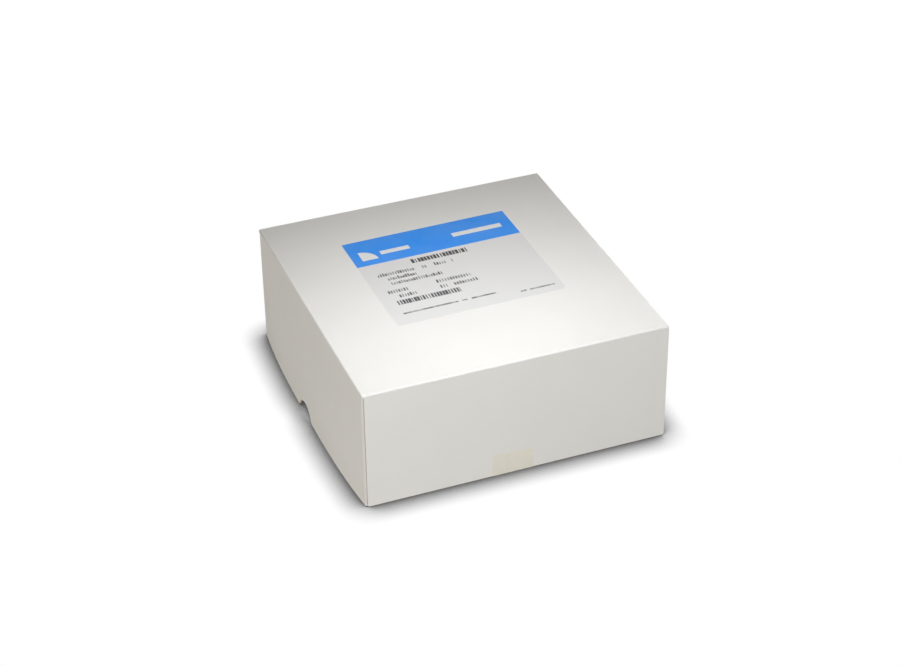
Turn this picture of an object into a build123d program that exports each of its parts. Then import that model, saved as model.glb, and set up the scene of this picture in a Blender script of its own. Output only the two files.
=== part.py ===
"""A lidded carton of laboratory filter papers, each folded into a quadrant.

Two folded trays of white-lined board, a lid over a base, hold eight stacks of folded filters: one in each
corner and four round the middle, where their quadrants meet as a full circle. Millimetres, +Z up, origin at
the middle of the carton's footprint on the table. -Y is the front, where the seal tape is.
"""

import os
from math import cos, radians, sin

from build123d import *

# Folded filters
filter_radius = 62.5  # a round filter of 125 mm, folded twice
folded_thickness = 1.1  # one folded filter, four layers, as it lies in a stack
filters_per_stack = 63

# How the stacks lie in the base
stack_diagonal = 45.3  # direction from the middle to a corner stack's point, in degrees from +X
arc_gap = 0.5  # between the arcs of a corner stack and a middle stack
middle_gap = 0.6  # between the straight sides of the middle stacks
side_gap = 0.5  # from a corner stack to the board beside it
headroom = 4.5  # from the stacks to the base's upper edge
point_radius = 1.2  # the soft point where a filter's folds cross
end_radius = 0.6  # where a fold meets the arc

# Board and its folds
board = 1.0  # thickness
crease_radius = 0.5  # inside of a fold
corner_radius = 1.2  # closed corner beside the flat panel
corner_height = 0.3  # closed corner, from the end of the fold to the glue tabs
tab_length = 20.0  # glue tab, from the outside of its corner
tab_taper = 6.0  # cut off the tab's free corner
edge_setback = 0.6  # mean distance from a side wall's face to the cut edge of an end panel
end_shift = 0.5  # of each end panel towards +X, which leaves the left edge set back and the right one flush
end_corner = 1.2  # radius of an end panel's corners at the rim

# Fit of the lid over the base
lid_play = 0.9  # at each side, between the lid and the base
seat_gap = 0.2  # from the base's upper edge to the lid's panel
rim_gap = 0.4  # from the table to the lid's rim
lid_bow = 3.8  # how far the middle of each side wall of the lid stands out at the rim
bow_slope = 0.12  # how steeply the bow starts from each corner
notch_radius = 12.5  # thumb notch
notch_drop = 5.0  # notch centre below the rim
notch_shift = 3.0  # towards the back

# Label and seal tape
label_width = 104.5
label_length = 95.5
label_thickness = 0.12
label_corner = 3.0
label_shift = (1.5, 10.6)
label_turn = 0.8  # degrees
tape_width = 25.0
tape_height = 14.0
tape_thickness = 0.06
tape_shift = -3.4
tape_turn = -3.0

# Sizes that follow
fold_radius = crease_radius + board  # outside of a fold
crease_height = fold_radius + corner_height  # from a tray's panel to its glue tabs
pitch = 2 * filter_radius + arc_gap  # from a corner stack's point to the point of the middle stack it faces
pitch_x = pitch * cos(radians(stack_diagonal))
pitch_y = pitch * sin(radians(stack_diagonal))
stack_height = filters_per_stack * folded_thickness

base_width = 2 * (pitch_x + middle_gap / 2 + side_gap + board)
base_depth = 2 * (pitch_y + middle_gap / 2 + side_gap + 2 * board)
base_height = board + stack_height + headroom

lid_width = base_width + 2 * (lid_play + board)
lid_depth = base_depth + 2 * (lid_play + 2 * board)
lid_top = base_height + seat_gap + board
lid_height = lid_top - rim_gap
side_span = lid_depth - 2 * board - 2 * fold_radius  # flat length of a side wall of the lid


def folded_tray(width, depth, height):
    """A tray folded from one sheet, open upwards, the outside of its panel at z = 0.

    The ends of the side walls fold in as glue tabs, and an end panel covers each pair of tabs.
    """
    with BuildPart() as tray:
        with BuildSketch():
            RectangleRounded(width, depth, corner_radius)
        extrude(amount=crease_height)
        fillet(tray.faces().sort_by(Axis.Z)[0].edges(), fold_radius - board / 2)
        with BuildSketch(Plane.XY.offset(board)):
            Rectangle(width - 2 * board, depth - 2 * board)
        extrude(amount=crease_height - board, mode=Mode.SUBTRACT)
        fillet(tray.edges().filter_by_position(Axis.Z, board, board), crease_radius)
        with BuildSketch(Plane.XY.offset(crease_height)):
            RectangleRounded(width, depth - 2 * board, fold_radius)
            RectangleRounded(width - 2 * board, depth - 4 * board, crease_radius, mode=Mode.SUBTRACT)
            Rectangle(width - 2 * tab_length, depth - 2 * board, mode=Mode.SUBTRACT)
        extrude(amount=height - crease_height)
        rim = tray.edges().filter_by_position(Axis.Z, height, height).filter_by(Axis.Y)
        tab_x = width / 2 - tab_length
        chamfer(rim.filter_by_position(Axis.X, -tab_x, tab_x), tab_taper)
        for end in (-1, 1):
            with BuildSketch(Plane.XZ.offset(end * depth / 2)):
                with Locations((end_shift, height)):
                    Rectangle(
                        width - 2 * edge_setback, height - crease_height, align=(Align.CENTER, Align.MAX)
                    )
                fillet(vertices().group_by(Axis.Y)[-1], end_corner)
            extrude(amount=-end * board)
    return tray.part


def bowed_wall(side):
    """A side wall of the lid: straight at its fold, and standing out in a long curve at the rim."""
    face_x = side * lid_width / 2
    lead_in = (side * bow_slope, 1)
    lead_out = (-side * bow_slope, 1)
    with BuildPart() as wall:
        with BuildSketch(Plane.XY.offset(lid_top - crease_height)):
            with Locations((face_x - side * board / 2, 0)):
                Rectangle(board, side_span)
        with BuildSketch(Plane.XY.offset(rim_gap)):
            with BuildLine():
                for x in (face_x, face_x - side * board):
                    Spline(
                        (x, -side_span / 2),
                        (x + side * lid_bow, 0),
                        (x, side_span / 2),
                        tangents=(lead_in, lead_out),
                    )
                for y in (-side_span / 2, side_span / 2):
                    Line((face_x, y), (face_x - side * board, y))
            make_face()
        loft(ruled=True)
    return wall.part


def make_base():
    """The lower tray, open upwards."""
    tray = folded_tray(base_width, base_depth, base_height)
    with BuildPart() as base:
        add(tray)
    base.part.label = "base_tray"
    return base.part


def make_lid():
    """The upper tray, open downwards, with bowed side walls and a thumb notch in each."""
    upside_down = Plane(origin=(0, 0, lid_top), x_dir=(1, 0, 0), z_dir=(0, 0, -1))
    tray = upside_down.location * folded_tray(lid_width, lid_depth, lid_height)
    side_walls = [bowed_wall(side) for side in (-1, 1)]
    with BuildPart() as lid:
        add(tray)
        with BuildSketch(Plane.XY.offset(rim_gap)):
            with GridLocations(lid_width - board, 0, 2, 1):
                Rectangle(board, side_span)
        extrude(amount=lid_height - crease_height, mode=Mode.SUBTRACT)
        add(side_walls)
        with BuildSketch(Plane.YZ):
            with Locations((notch_shift, rim_gap - notch_drop)):
                Circle(notch_radius)
        extrude(amount=lid_width, both=True, mode=Mode.SUBTRACT)
    lid.part.label = "lid"
    return lid.part


def make_stack(name, point, turn):
    """A stack of folded filters. point is where their folds cross, and turn the direction of one fold."""
    x_dir = (cos(radians(turn)), sin(radians(turn)), 0)
    with BuildPart() as stack:
        with BuildSketch(Plane(origin=(*point, board), x_dir=x_dir, z_dir=(0, 0, 1))):
            with BuildLine():
                Line((0, 0), (filter_radius, 0))
                CenterArc((0, 0), filter_radius, 0, 90)
                Line((0, filter_radius), (0, 0))
            make_face()
        extrude(amount=stack_height)
        upright = stack.edges().filter_by(Axis.Z).sort_by_distance((*point, board))
        fillet(upright[0], point_radius)
        fillet(stack.edges().filter_by(Axis.Z).sort_by_distance((*point, board))[2:], end_radius)
    stack.part.label = name
    return stack.part


def make_stacks():
    """Four corner stacks that point outwards and four middle stacks that point at the carton's middle."""
    near = middle_gap / 2
    quarters = {
        "back_right": (1, 1, 0),
        "back_left": (-1, 1, 90),
        "front_left": (-1, -1, 180),
        "front_right": (1, -1, 270),
    }
    stacks = []
    for name, (x, y, turn) in quarters.items():
        corner = (x * (pitch_x + near), y * (pitch_y + near))
        stacks.append(make_stack(f"middle_stack_{name}", (x * near, y * near), turn))
        stacks.append(make_stack(f"corner_stack_{name}", corner, turn + 180))
    return stacks


def make_label():
    """A paper label stuck on the lid, with round corners at its foot."""
    plane = Plane.XY.offset(lid_top) * Location((*label_shift, 0), (0, 0, label_turn))
    with BuildPart() as label:
        with BuildSketch(plane):
            Rectangle(label_width, label_length)
        extrude(amount=label_thickness)
        fillet(label.edges().filter_by(Axis.Z).sort_by(Axis.Y)[:2], label_corner)
    label.part.label = "label"
    return label.part


def make_tape():
    """The lid's end of the seal tape: up the front wall, a little askew, and round the rim's cut edge."""
    front = Plane.XZ.offset(lid_depth / 2)
    with BuildPart() as tape:
        with BuildSketch(front):
            with Locations(Location((tape_shift, rim_gap), (0, 0, tape_turn))):
                Rectangle(tape_width, 2 * tape_height)
            with Locations((tape_shift, rim_gap)):
                Rectangle(2 * tape_width, 2 * tape_height, align=(Align.CENTER, Align.MAX), mode=Mode.SUBTRACT)
        extrude(amount=tape_thickness)
        with BuildSketch(Plane.XY.offset(rim_gap)):
            with Locations((tape_shift, -lid_depth / 2 - tape_thickness)):
                Rectangle(
                    tape_width / cos(radians(tape_turn)),
                    board + tape_thickness,
                    align=(Align.CENTER, Align.MIN),
                )
        extrude(amount=-tape_thickness)
    tape.part.label = "seal_tape"
    return tape.part


os.makedirs("parts", exist_ok=True)
pieces = [make_base(), make_lid(), *make_stacks(), make_label(), make_tape()]
for piece in pieces:
    export_step(piece, f"parts/{piece.label}.step")
print(f"lid {lid_width:.1f} x {lid_depth:.1f} mm, top at {lid_top:.1f} mm")
print(f"base {base_width:.1f} x {base_depth:.1f} x {base_height:.1f} mm, stacks {stack_height:.1f} mm high")
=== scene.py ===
import random
from math import cos, pi, radians, sin

import bmesh
import bpy
from mathutils import Matrix, Vector


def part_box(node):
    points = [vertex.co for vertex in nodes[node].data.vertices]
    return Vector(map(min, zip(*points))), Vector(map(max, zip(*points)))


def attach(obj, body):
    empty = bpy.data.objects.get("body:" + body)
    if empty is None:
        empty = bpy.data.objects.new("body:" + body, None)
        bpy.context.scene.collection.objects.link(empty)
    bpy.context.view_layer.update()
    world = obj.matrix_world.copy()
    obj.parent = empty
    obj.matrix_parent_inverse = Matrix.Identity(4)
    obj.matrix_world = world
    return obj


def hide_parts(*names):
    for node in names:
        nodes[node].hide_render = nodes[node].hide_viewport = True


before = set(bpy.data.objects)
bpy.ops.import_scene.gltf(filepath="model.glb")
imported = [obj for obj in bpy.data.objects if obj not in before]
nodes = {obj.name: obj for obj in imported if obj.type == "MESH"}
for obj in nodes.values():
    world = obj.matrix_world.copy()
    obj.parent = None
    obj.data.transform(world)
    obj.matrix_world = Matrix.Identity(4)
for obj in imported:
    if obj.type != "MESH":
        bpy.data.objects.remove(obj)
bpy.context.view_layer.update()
print("frame loaded:", len(nodes), "nodes")

mm = 0.001
lidLow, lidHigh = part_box("lid")
trayLow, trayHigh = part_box("base_tray")
labelLow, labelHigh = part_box("label")
tapeLow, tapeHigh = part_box("seal_tape")


# ---- shader helpers

class Sock:
    # wraps a node socket, so that maths on it adds Math nodes

    def __init__(self, mat, socket):
        self.mat, self.socket = mat, socket

    def maths(self, operation, *others, first=None):
        values = [self if first is None else first, *others]
        return self.mat.node("ShaderNodeMath", {"operation": operation}, dict(enumerate(values)))

    def __add__(self, other):
        return self.maths("ADD", other)

    def __radd__(self, other):
        return self.maths("ADD", other)

    def __sub__(self, other):
        return self.maths("SUBTRACT", other)

    def __rsub__(self, other):
        return self.maths("SUBTRACT", self, first=other)

    def __mul__(self, other):
        return self.maths("MULTIPLY", other)

    def __rmul__(self, other):
        return self.maths("MULTIPLY", other)

    def __truediv__(self, other):
        return self.maths("DIVIDE", other)

    def __gt__(self, other):
        return self.maths("GREATER_THAN", other)

    def __lt__(self, other):
        return self.maths("LESS_THAN", other)

    def __abs__(self):
        return self.maths("ABSOLUTE")

    def power(self, other):
        return self.maths("POWER", other)

    def lowest(self, other):
        return self.maths("MINIMUM", other)

    def highest(self, other):
        return self.maths("MAXIMUM", other)

    def clamped(self):
        return self.mat.node("ShaderNodeClamp", {}, {"Value": self})

    def ramp(self, low, high):
        # 0 below low and 1 above high, smooth between
        return self.mat.node("ShaderNodeMapRange", {"interpolation_type": "SMOOTHSTEP"},
                             {"Value": self, "From Min": low, "From Max": high})


class Mat:
    # one material and its nodes

    def __init__(self, name, **constants):
        self.material = bpy.data.materials.new(name)
        self.material.use_nodes = True
        self.tree = self.material.node_tree
        self.shader = self.tree.nodes["Principled BSDF"]
        self.coords = self.node("ShaderNodeTexCoord", out="Object")
        for socket, value in constants.items():
            self.shader.inputs[socket.replace("_", " ")].default_value = value

    def put(self, inlet, value):
        if isinstance(value, Sock):
            self.tree.links.new(value.socket, inlet)
        else:
            inlet.default_value = (*value, 1) if isinstance(value, tuple) and inlet.type == "RGBA" else value

    def node(self, kind, settings=None, sockets=None, out=0):
        made = self.tree.nodes.new(kind)
        for name, value in (settings or {}).items():
            setattr(made, name, value)
        for name, value in (sockets or {}).items():
            self.put(made.inputs[name], value)
        return Sock(self, made.outputs[out])

    def noise(self, scale, detail=3.0, roughness=0.5, where=None, out="Fac"):
        return self.node("ShaderNodeTexNoise", {},
                         {"Vector": where or self.coords, "Scale": scale, "Detail": detail,
                          "Roughness": roughness}, out)

    def mix(self, amount, low, high):
        return self.node("ShaderNodeMix", {"data_type": "RGBA"}, {0: amount, 6: low, 7: high}, 2)

    def vector(self, operation, first, second):
        return self.node("ShaderNodeVectorMath", {"operation": operation}, {0: first, 1: second})

    def split(self, vector):
        made = self.node("ShaderNodeSeparateXYZ", {}, {0: vector}).socket.node
        return [Sock(self, made.outputs[i]) for i in range(3)]

    def bump(self, height, distance, strength=1.0):
        return self.node("ShaderNodeBump", {}, {"Height": height, "Distance": distance, "Strength": strength})

    def feed(self, **links):
        for socket, value in links.items():
            self.put(self.shader.inputs[socket.replace("_", " ")], value)
        return self.material


def wear(obj, material):
    obj.data.materials.clear()
    obj.data.materials.append(material)


# ---- lined board: white coated paper on both trays, with the grey-brown core at every cut edge

boardLook = {
    "lining": (0.865, 0.855, 0.838), "liningShade": (0.835, 0.823, 0.803),
    "core": (0.50, 0.425, 0.31), "coreDark": (0.36, 0.30, 0.215),
    "inside": (0.66, 0.635, 0.585), "insideFleck": (0.52, 0.49, 0.44),
    "thickness": 1.0 * mm, "lidGap": 0.9 * mm, "rimBand": 0.05 * mm,
    "creaseHeight": 1.9 * mm,  # from the panel to where the end panels have cut edges
    "notchHeight": 9 * mm, "notchToCorner": 20 * mm,
    "rubbed": (0.3 * mm, 2.4 * mm),  # how far from a fold the rubbing is full, and where it ends
    "waveHeight": 0.8 * mm, "grainHeight": 0.02 * mm,
}


def linedBoard(name, low, high, rimZ, wallX, wallY, upwards):
    # low and high are the tray's own box, wallX and wallY its half sizes at the panel
    look = boardLook
    t = look["thickness"]
    m = Mat(name, Specular_IOR_Level=0.3)
    x, y, z = m.split(m.coords)
    normal = m.node("ShaderNodeTexCoord", out="Normal")
    nx, ny, nz = m.split(normal)
    up = 1 if upwards else -1

    # faces that look into the tray: every normal there points towards its middle
    panelZ = low.z if upwards else high.z
    facesIn = ((nx * x) < -0.5 * wallX).highest((ny * y) < -0.5 * wallY)
    innerPanel = ((nz * up) > 0.5) * (abs(z - panelZ) < 3 * t)
    rimCut = (abs(z - rimZ) < look["rimBand"]) * ((nz * up) > 0.5)
    endPanel = (abs(y) > wallY - 1.05 * t) * (abs(z - panelZ) > look["creaseHeight"])
    cornerCut = endPanel * (abs(ny) < 0.5)
    nearNotch = (abs(z - rimZ) < look["notchHeight"]) * (abs(y) < wallY - look["notchToCorner"])
    notchCut = (abs(nx) < 0.5) * (abs(x) > wallX - 1.5 * t) * nearNotch
    cut = rimCut.highest(cornerCut).highest(notchCut).clamped()
    inner = facesIn.highest(innerPanel).clamped()

    mottle = m.noise(26, 4, 0.6).ramp(0.35, 0.7)
    lining = m.mix(mottle * 0.35, look["lining"], look["liningShade"])
    fleck = m.noise(1500, 2, 0.7).ramp(0.56, 0.72)
    inside = m.mix(fleck, look["inside"], look["insideFleck"])
    fibres = m.noise(2600, 3, 0.6, m.vector("MULTIPLY", m.coords, (1.0, 1.0, 4.0)))
    core = m.mix(fibres.ramp(0.3, 0.7), look["core"], look["coreDark"])

    # folds are rubbed a little: the coating is dull and faintly grey along them
    sideGap = abs(abs(x) - wallX).highest(abs(z - panelZ))
    endGap = abs(abs(y) - wallY).highest(abs(z - panelZ))
    crease = 1 - sideGap.lowest(endGap).ramp(*look["rubbed"])
    scuffs = crease * m.noise(420, 4, 0.7).ramp(0.48, 0.66)

    colour = m.mix(scuffs * 0.08, lining, look["inside"])
    colour = m.mix(inner, colour, inside)
    colour = m.mix(cut, colour, core)
    rough = m.noise(9, 3, 0.5) * 0.1 + 0.55 + scuffs * 0.06 + cut.highest(inner) * 0.3
    waves = m.noise(7, 2, 0.4) * 0.9 + m.noise(38, 3, 0.5) * 0.1
    grain = m.noise(1900, 3, 0.6)
    relief = m.bump(waves, look["waveHeight"], 0.35)
    surface = m.node("ShaderNodeBump", {}, {"Height": grain + cut * fibres * 3, "Strength": 0.35,
                                            "Distance": look["grainHeight"], "Normal": relief})
    return m.feed(Base_Color=colour, Roughness=rough, Normal=surface)


lidWall = trayHigh.x + boardLook["lidGap"] + boardLook["thickness"]
lidBoard = linedBoard("lidBoard", lidLow, lidHigh, lidLow.z, lidWall, lidHigh.y, False)
wear(nodes["lid"], lidBoard)
trayBoard = linedBoard("trayBoard", trayLow, trayHigh, trayHigh.z, trayHigh.x, trayHigh.y, True)
wear(nodes["base_tray"], trayBoard)
print("trays finished")


# ---- label: coated paper with a blue band and plain marks where the print is

labelLook = {
    "size": (104.5, 95.5), "turn": 0.8, "bandFoot": 67.5,
    "paper": (0.79, 0.785, 0.79), "paperShade": (0.765, 0.76, 0.765),
    "blue": (0.005, 0.295, 1.0), "ink": (0.035, 0.035, 0.04), "white": (0.85, 0.86, 0.87),
    # left, right, foot, height, pitch and width of the strokes, least height of a stroke
    "lines": [
        (31.8, 71.4, 59.9, 4.6, 2.0, 0.9, 0.9), (7.4, 55.4, 52.6, 3.7, 1.55, 0.66, 0.6),
        (7.2, 29.8, 47.3, 3.5, 1.55, 0.66, 0.6), (7.3, 44.9, 42.0, 3.6, 1.55, 0.66, 0.6),
        (6.9, 22.7, 33.6, 3.4, 1.6, 0.62, 0.8), (37.2, 58.5, 34.2, 3.4, 1.7, 0.6, 0.8),
        (7.0, 22.4, 27.7, 3.4, 1.6, 0.62, 0.8), (37.3, 61.0, 28.0, 3.4, 1.7, 0.6, 0.8),
        (7.5, 65.3, 10.4, 1.5, 1.2, 0.9, 0.8), (78.4, 100.2, 6.1, 1.5, 1.2, 0.8, 0.8),
    ],
    "barcode": (8.0, 47.2, 20.4, 4.6, 1.75, 0.85, 1.0),
    "markCentre": (5.6, 73.2), "markRadius": 10.0,
    "whiteBars": [(18.4, 36.9, 76.4, 4.0), (65.4, 97.4, 78.4, 4.4)],
}


def labelPaper():
    look = labelLook
    m = Mat("labelPaper", Specular_IOR_Level=0.2)
    middle = (labelLow + labelHigh) / 2
    x, y = m.split(m.coords)[:2]
    c, s = cos(radians(look["turn"])), sin(radians(look["turn"]))
    # u and v run from the label's lower left corner, in millimetres
    u = ((x - middle.x) * c + (y - middle.y) * s) * 1000 + look["size"][0] / 2
    v = ((y - middle.y) * c - (x - middle.x) * s) * 1000 + look["size"][1] / 2

    def within(left, right, foot, height):
        return (abs(u - (left + right) / 2) < (right - left) / 2) * (abs(v - foot - height / 2) < height / 2)

    def chance(value):
        return m.node("ShaderNodeTexWhiteNoise", {"noise_dimensions": "1D"}, {"W": value})

    def ticks(line, seed):
        # upright strokes of uneven width and height, with a gap now and then
        left, right, foot, height, pitch, width, least = line
        steps = (u - left) / pitch
        cell = steps.maths("FLOOR")
        luck, other = chance(cell + seed), chance(cell + seed + 50.5)
        stroke = abs(steps - cell - 0.5) < width * (0.2 + 0.38 * luck)
        tall = (v - foot) < height * (least + (1 - least) * other)
        gap = chance((cell * 0.4).maths("FLOOR") + seed + 9.3) > 0.14
        return within(left, right, foot, height) * stroke * tall * (gap if least < 1 else 1)

    ink = ticks(look["barcode"], 211.0)
    for row, line in enumerate(look["lines"]):
        ink = ink.highest(ticks(line, 31.0 * row + 3.0))
    left, right = look["whiteBars"]
    white = within(*left).highest(within(*right))
    du, dv = u - look["markCentre"][0], v - look["markCentre"][1]
    reach = (du * du + dv * dv).power(0.5)
    white = white.highest((reach < look["markRadius"]) * (du > 0) * (dv > 0))

    band = v > look["bandFoot"]
    mottle = m.noise(60, 3, 0.5)
    paper = m.mix(mottle, look["paper"], look["paperShade"])
    printed = m.mix(ink * (0.9 + 0.08 * m.noise(900, 2, 0.5)), paper, look["ink"])
    blue = m.mix(mottle * 0.12, look["blue"], look["paper"])
    colour = m.mix(band, printed, m.mix(white, blue, look["white"]))
    rough = 0.46 - band * 0.1 + m.noise(300, 2, 0.5) * 0.06
    relief = m.bump(m.noise(1200, 2, 0.5) + m.noise(30, 2, 0.5) * 4, 0.03 * mm, 0.4)
    return m.feed(Base_Color=colour, Roughness=rough, Normal=relief)


wear(nodes["label"], labelPaper())
print("label finished")


# ---- seal tape: clear film whose glue has yellowed

tapeLook = {"film": (0.91, 0.875, 0.785), "glue": (0.885, 0.84, 0.73), "alpha": 0.93,
            "edge": (0.4 * mm, 1.8 * mm)}


def clearTape():
    look = tapeLook
    m = Mat("clearTape", Specular_IOR_Level=0.5, IOR=1.48)
    x, _, z = m.split(m.coords)
    blotches = m.noise(140, 4, 0.6).ramp(0.4, 0.68)
    sides = abs(x - tapeLow.x).lowest(abs(x - tapeHigh.x))
    edge = 1 - abs(z - tapeHigh.z).lowest(sides).ramp(*look["edge"])
    colour = m.mix(blotches * 0.3 + edge * 0.4, look["film"], look["glue"])
    rough = 0.34 + blotches * 0.08
    relief = m.bump(m.noise(240, 3, 0.5), 0.05 * mm, 0.3)
    return m.feed(Base_Color=colour, Roughness=rough, Alpha=look["alpha"] + blotches * 0.04, Normal=relief)


wear(nodes["seal_tape"], clearTape())
print("tape finished")


# ---- stacks of folded filters, one thin quadrant for each filter

stackLook = {
    "filters": 63, "radius": 62.5 * mm, "pointRadius": 1.2 * mm, "edge": 0.28 * mm,
    "arcSteps": 26, "arcInset": 0.006,  # radians, which rounds the ends of the arc
    "folded": 1.1 * mm, "layers": 4,  # height of one folded filter, and its layers
    # height of each ring of a filter, and how far it is set in
    "rings": [(0.03, 1), (0.28, 0.15), (0.72, 0.15), (0.97, 1)],
    "slip": 0.22 * mm, "turn": 0.22, "paper": (0.80, 0.785, 0.745), "paperShade": (0.74, 0.72, 0.675),
    "cutEdge": (0.70, 0.68, 0.625), "seed": 17,
}
quarters = {"back_right": 0, "back_left": 90, "front_left": 180, "front_right": 270}


def quadrantOutline(radius, corner, steps, inset):
    # counter-clockwise from beside the point, along one fold, round the arc and back down the other
    line = [Vector((corner, 0, 0)), Vector((radius * 0.5, 0, 0))]
    angles = [inset + (pi / 2 - 2 * inset) * i / steps for i in range(steps + 1)]
    line += [Vector((radius * cos(a), radius * sin(a), 0)) for a in angles]
    line += [Vector((0, radius * 0.5, 0)), Vector((0, corner, 0)), Vector((corner * 0.3, corner * 0.3, 0))]
    return line


def filterStack(node, turn):
    look = stackLook
    low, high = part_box(node)
    chance = random.Random(look["seed"] + turn + len(node))
    pitch = (high.z - low.z) / look["filters"]
    along = Matrix.Rotation(radians(turn), 4, "Z")
    towards = along @ Vector((1, 1, 0))
    point = Vector((low.x if towards.x > 0 else high.x, low.y if towards.y > 0 else high.y, low.z))
    reach = look["radius"] - look["slip"] * 1.6
    outline = quadrantOutline(reach, look["pointRadius"], look["arcSteps"], look["arcInset"])
    middle = Vector((0.45, 0.45, 0)) * look["radius"]
    mesh = bmesh.new()
    for i in range(look["filters"]):
        jitter = Vector((chance.random(), chance.random(), 0)) * look["slip"]
        swing = Matrix.Rotation(radians(chance.uniform(0, 1) * look["turn"] * (1 if i % 2 else 0.4)), 4, "Z")
        lift = Vector((0, 0, pitch * i))
        place = Matrix.Translation(point + lift) @ along @ Matrix.Translation(jitter) @ swing
        rings = []
        for height, inset in look["rings"]:
            ring = []
            for p in outline:
                inwards = (middle - p).normalized() * look["edge"] * inset
                ring.append(mesh.verts.new(place @ (p + inwards + Vector((0, 0, pitch * height)))))
            rings.append(ring)
        count = len(outline)
        for below, above in zip(rings, rings[1:]):
            for k in range(count):
                mesh.faces.new((below[k], below[(k + 1) % count], above[(k + 1) % count], above[k]))
        mesh.faces.new(list(reversed(rings[0])))
        mesh.faces.new(rings[-1])
    data = bpy.data.meshes.new(node + "Filters")
    mesh.to_mesh(data)
    mesh.free()
    stack = bpy.data.objects.new(node + "Filters", data)
    bpy.context.scene.collection.objects.link(stack)
    return stack


def filterPaper():
    look = stackLook
    m = Mat("filterPaper", Roughness=0.9, Specular_IOR_Level=0.2)
    z = m.split(m.coords)[2]
    nz = m.split(m.node("ShaderNodeTexCoord", out="Normal"))[2]
    side = abs(nz) < 0.6
    layers = (z * (look["layers"] / look["folded"]) * 2 * pi).maths("SINE") * 0.5 + 0.5
    fibres = m.noise(900, 5, 0.65)
    cloud = m.noise(75, 3, 0.6).ramp(0.35, 0.7)
    face = m.mix(cloud * 0.6, look["paper"], look["paperShade"])
    cut = m.mix(layers * 0.5 + fibres * 0.3, look["paper"], look["cutEdge"])
    colour = m.mix(side, face, cut)
    relief = m.bump(fibres + side * layers * 2.5, 0.05 * mm, 0.5)
    return m.feed(Base_Color=colour, Roughness=0.86 + fibres * 0.1, Normal=relief)


paper = filterPaper()
for quarter, turn in quarters.items():
    for kind, facing in (("middle", turn), ("corner", turn + 180)):
        node = f"{kind}_stack_{quarter}"
        stack = filterStack(node, facing)
        wear(stack, paper)
        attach(stack, "base")
        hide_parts(node)
print("stacks finished")


# ---- studio: pale floor with a painted contact shadow beside the box that fades to white away from it, soft lamps, warm fill

studio = {
    # the contact colour is a painted shadow: the floor's colour right beside the box
    "floorSize": 6.0, "floor": (0.82, 0.82, 0.82), "contactShadow": (0.08, 0.08, 0.08), "shadowReach": 17 * mm,
    "contactWhite": 0.06,  # share of white that the floor keeps right beside the box
    "fill": (1.0, 0.96, 0.9), "fillStrength": 0.04, "glow": (1.0, 0.955, 0.84), "glowStrength": 0.85,
    "lamps": {
        "spotLamp": {"at": (-0.03, -0.10, 0.80), "aim": (-0.03, -0.075, 0.07), "size": 0.26, "depth": 0.10,
                     "spread": 33, "power": 0.108, "colour": (0.91, 0.955, 1.0)},
        "overheadLamp": {"at": (-0.02, -0.10, 0.66), "aim": (-0.02, -0.08, 0.07), "size": 0.20, "spread": 70,
                         "power": 0.14, "colour": (1.0, 0.90, 0.74)},
        "frontLamp": {"at": (0.03, -0.28, 0.505), "aim": (0.0, -0.10, 0.07), "size": 0.22, "power": 0.97,
                      "colour": (0.95, 0.975, 1.0)},
        "lowFrontLamp": {"at": (0.10, -0.62, 0.08), "aim": (0.0, -0.10, 0.04), "size": 0.30, "power": 0.18,
                         "colour": (0.38, 0.68, 1.0)},
        "rightLamp": {"at": (0.60, 0.05, 0.16), "aim": (0.09, 0.0, 0.06), "size": 0.30, "power": 0.9,
                      "colour": (1.0, 0.98, 0.95)},
        "lowLeftLamp": {"at": (-0.46, -0.48, 0.05), "aim": (-0.09, -0.04, 0.02), "size": 0.30, "power": 1.30,
                        "colour": (1.0, 0.975, 0.97)},
    },
}


def studioFloor():
    half = studio["floorSize"] / 2
    data = bpy.data.meshes.new("studioFloor")
    corners = [(-half, -half, 0), (half, -half, 0), (half, half, 0), (-half, half, 0)]
    data.from_pydata(corners, [], [(0, 1, 2, 3)])
    floor = bpy.data.objects.new("studioFloor", data)
    bpy.context.scene.collection.objects.link(floor)
    m = Mat("paleFloor", Roughness=0.9, Specular_IOR_Level=0.1)
    # painted shadow: ambient occlusion darkens the floor's colour and lowers its share of white beside the
    # box
    around = m.node("ShaderNodeAmbientOcclusion", {"samples": 8}, {"Distance": studio["shadowReach"]}, "AO")
    clear = (around * 2 - 1).clamped()
    away = clear * (1 - studio["contactWhite"]) + studio["contactWhite"]
    m.feed(Base_Color=m.mix(clear.ramp(0.8, 1.0), studio["contactShadow"], studio["floor"]))
    path = m.node("ShaderNodeLightPath").socket.node
    seen = Sock(m, path.outputs["Is Camera Ray"]).highest(Sock(m, path.outputs["Is Glossy Ray"]))
    seen = seen.highest(Sock(m, path.outputs["Is Transmission Ray"]))
    white = m.node("ShaderNodeEmission", {}, {"Color": (1.0, 1.0, 1.0), "Strength": 1.0})
    blend = m.node("ShaderNodeMixShader", {}, {0: away * seen, 1: Sock(m, m.shader.outputs[0]), 2: white})
    glow = m.node("ShaderNodeEmission", {}, {"Color": studio["glow"], "Strength": studio["glowStrength"]})
    table = m.node("ShaderNodeMixShader", {}, {0: Sock(m, path.outputs["Is Diffuse Ray"]), 1: blend, 2: glow})
    m.put(m.tree.nodes["Material Output"].inputs["Surface"], table)
    data.materials.append(m.material)


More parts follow.
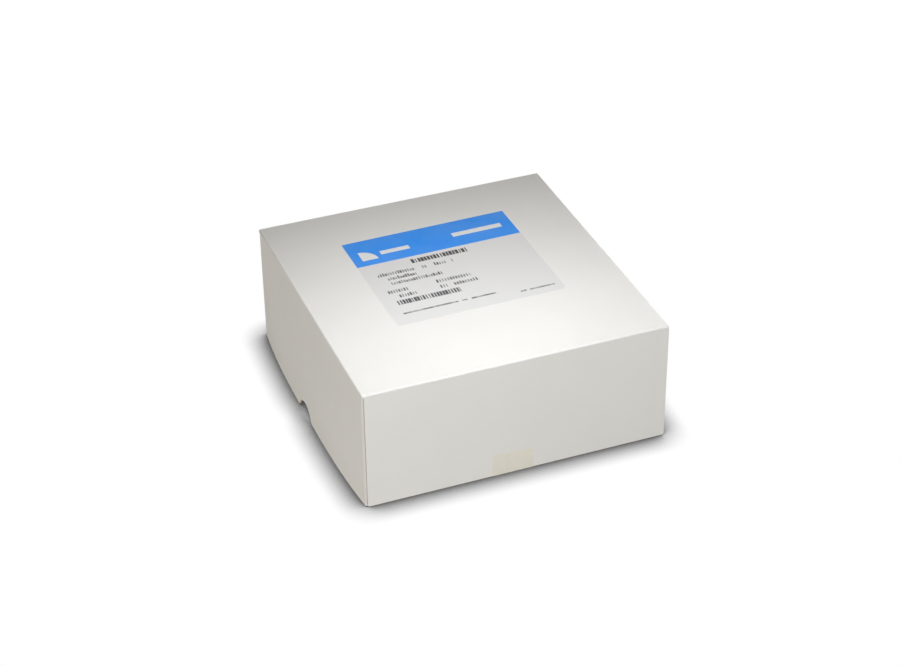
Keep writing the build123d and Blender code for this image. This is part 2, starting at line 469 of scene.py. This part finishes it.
def studioWorld():
    world = bpy.data.worlds.new("studioWorld")
    bpy.context.scene.world = world
    world.use_nodes = True
    tree = world.node_tree
    fill, white = tree.nodes["Background"], tree.nodes.new("ShaderNodeBackground")
    fill.inputs["Color"].default_value = (*studio["fill"], 1)
    fill.inputs["Strength"].default_value = studio["fillStrength"]
    white.inputs["Color"].default_value = (1, 1, 1, 1)
    path, blend = tree.nodes.new("ShaderNodeLightPath"), tree.nodes.new("ShaderNodeMixShader")
    seen = path.outputs["Is Camera Ray"]
    for ray in ("Is Glossy Ray", "Is Transmission Ray"):
        either = tree.nodes.new("ShaderNodeMath")
        either.operation = "MAXIMUM"
        tree.links.new(seen, either.inputs[0])
        tree.links.new(path.outputs[ray], either.inputs[1])
        seen = either.outputs[0]
    tree.links.new(seen, blend.inputs[0])
    tree.links.new(fill.outputs[0], blend.inputs[1])
    tree.links.new(white.outputs[0], blend.inputs[2])
    tree.links.new(blend.outputs[0], tree.nodes["World Output"].inputs["Surface"])


def lamp(name, at, aim, size, power, colour, depth=None, spread=180):
    data = bpy.data.lights.new(name, "AREA")
    data.shape = "RECTANGLE" if depth else "DISK"
    data.size, data.size_y = size, depth or size
    data.energy, data.color, data.spread = power, colour, radians(spread)
    made = bpy.data.objects.new(name, data)
    made.location = at
    made.rotation_euler = (Vector(at) - Vector(aim)).to_track_quat("Z", "Y").to_euler()
    bpy.context.scene.collection.objects.link(made)


studioFloor()
studioWorld()
for name, look in studio["lamps"].items():
    lamp(name, **look)
print("studio finished")


# ---- camera

shot = {"azimuth": -20.803, "elevation": 33.641, "roll": -0.726, "distance": 1.2953,
        "lens": 87.06, "sensor": 36, "across": -4.21 * mm, "upwards": -1.84 * mm}


def placeCamera():
    az, el, roll = (radians(shot[k]) for k in ("azimuth", "elevation", "roll"))
    back = Vector((sin(az) * cos(el), -cos(az) * cos(el), sin(el)))
    right = Vector((cos(az), sin(az), 0))
    up = back.cross(right)
    middle = Vector((0, 0, lidHigh.z / 2))
    data = bpy.data.cameras.new("mainCamera")
    data.lens, data.sensor_width = shot["lens"], shot["sensor"]
    camera = bpy.data.objects.new("mainCamera", data)
    turnedRight = cos(roll) * right + sin(roll) * up
    turnedUp = cos(roll) * up - sin(roll) * right
    place = Matrix((turnedRight, turnedUp, back)).transposed().to_4x4()
    place.translation = middle + back * shot["distance"] + right * shot["across"] + up * shot["upwards"]
    camera.matrix_world = place
    bpy.context.scene.collection.objects.link(camera)
    bpy.context.scene.camera = camera


placeCamera()
bpy.context.scene.view_settings.view_transform = "Standard"
print("camera placed")
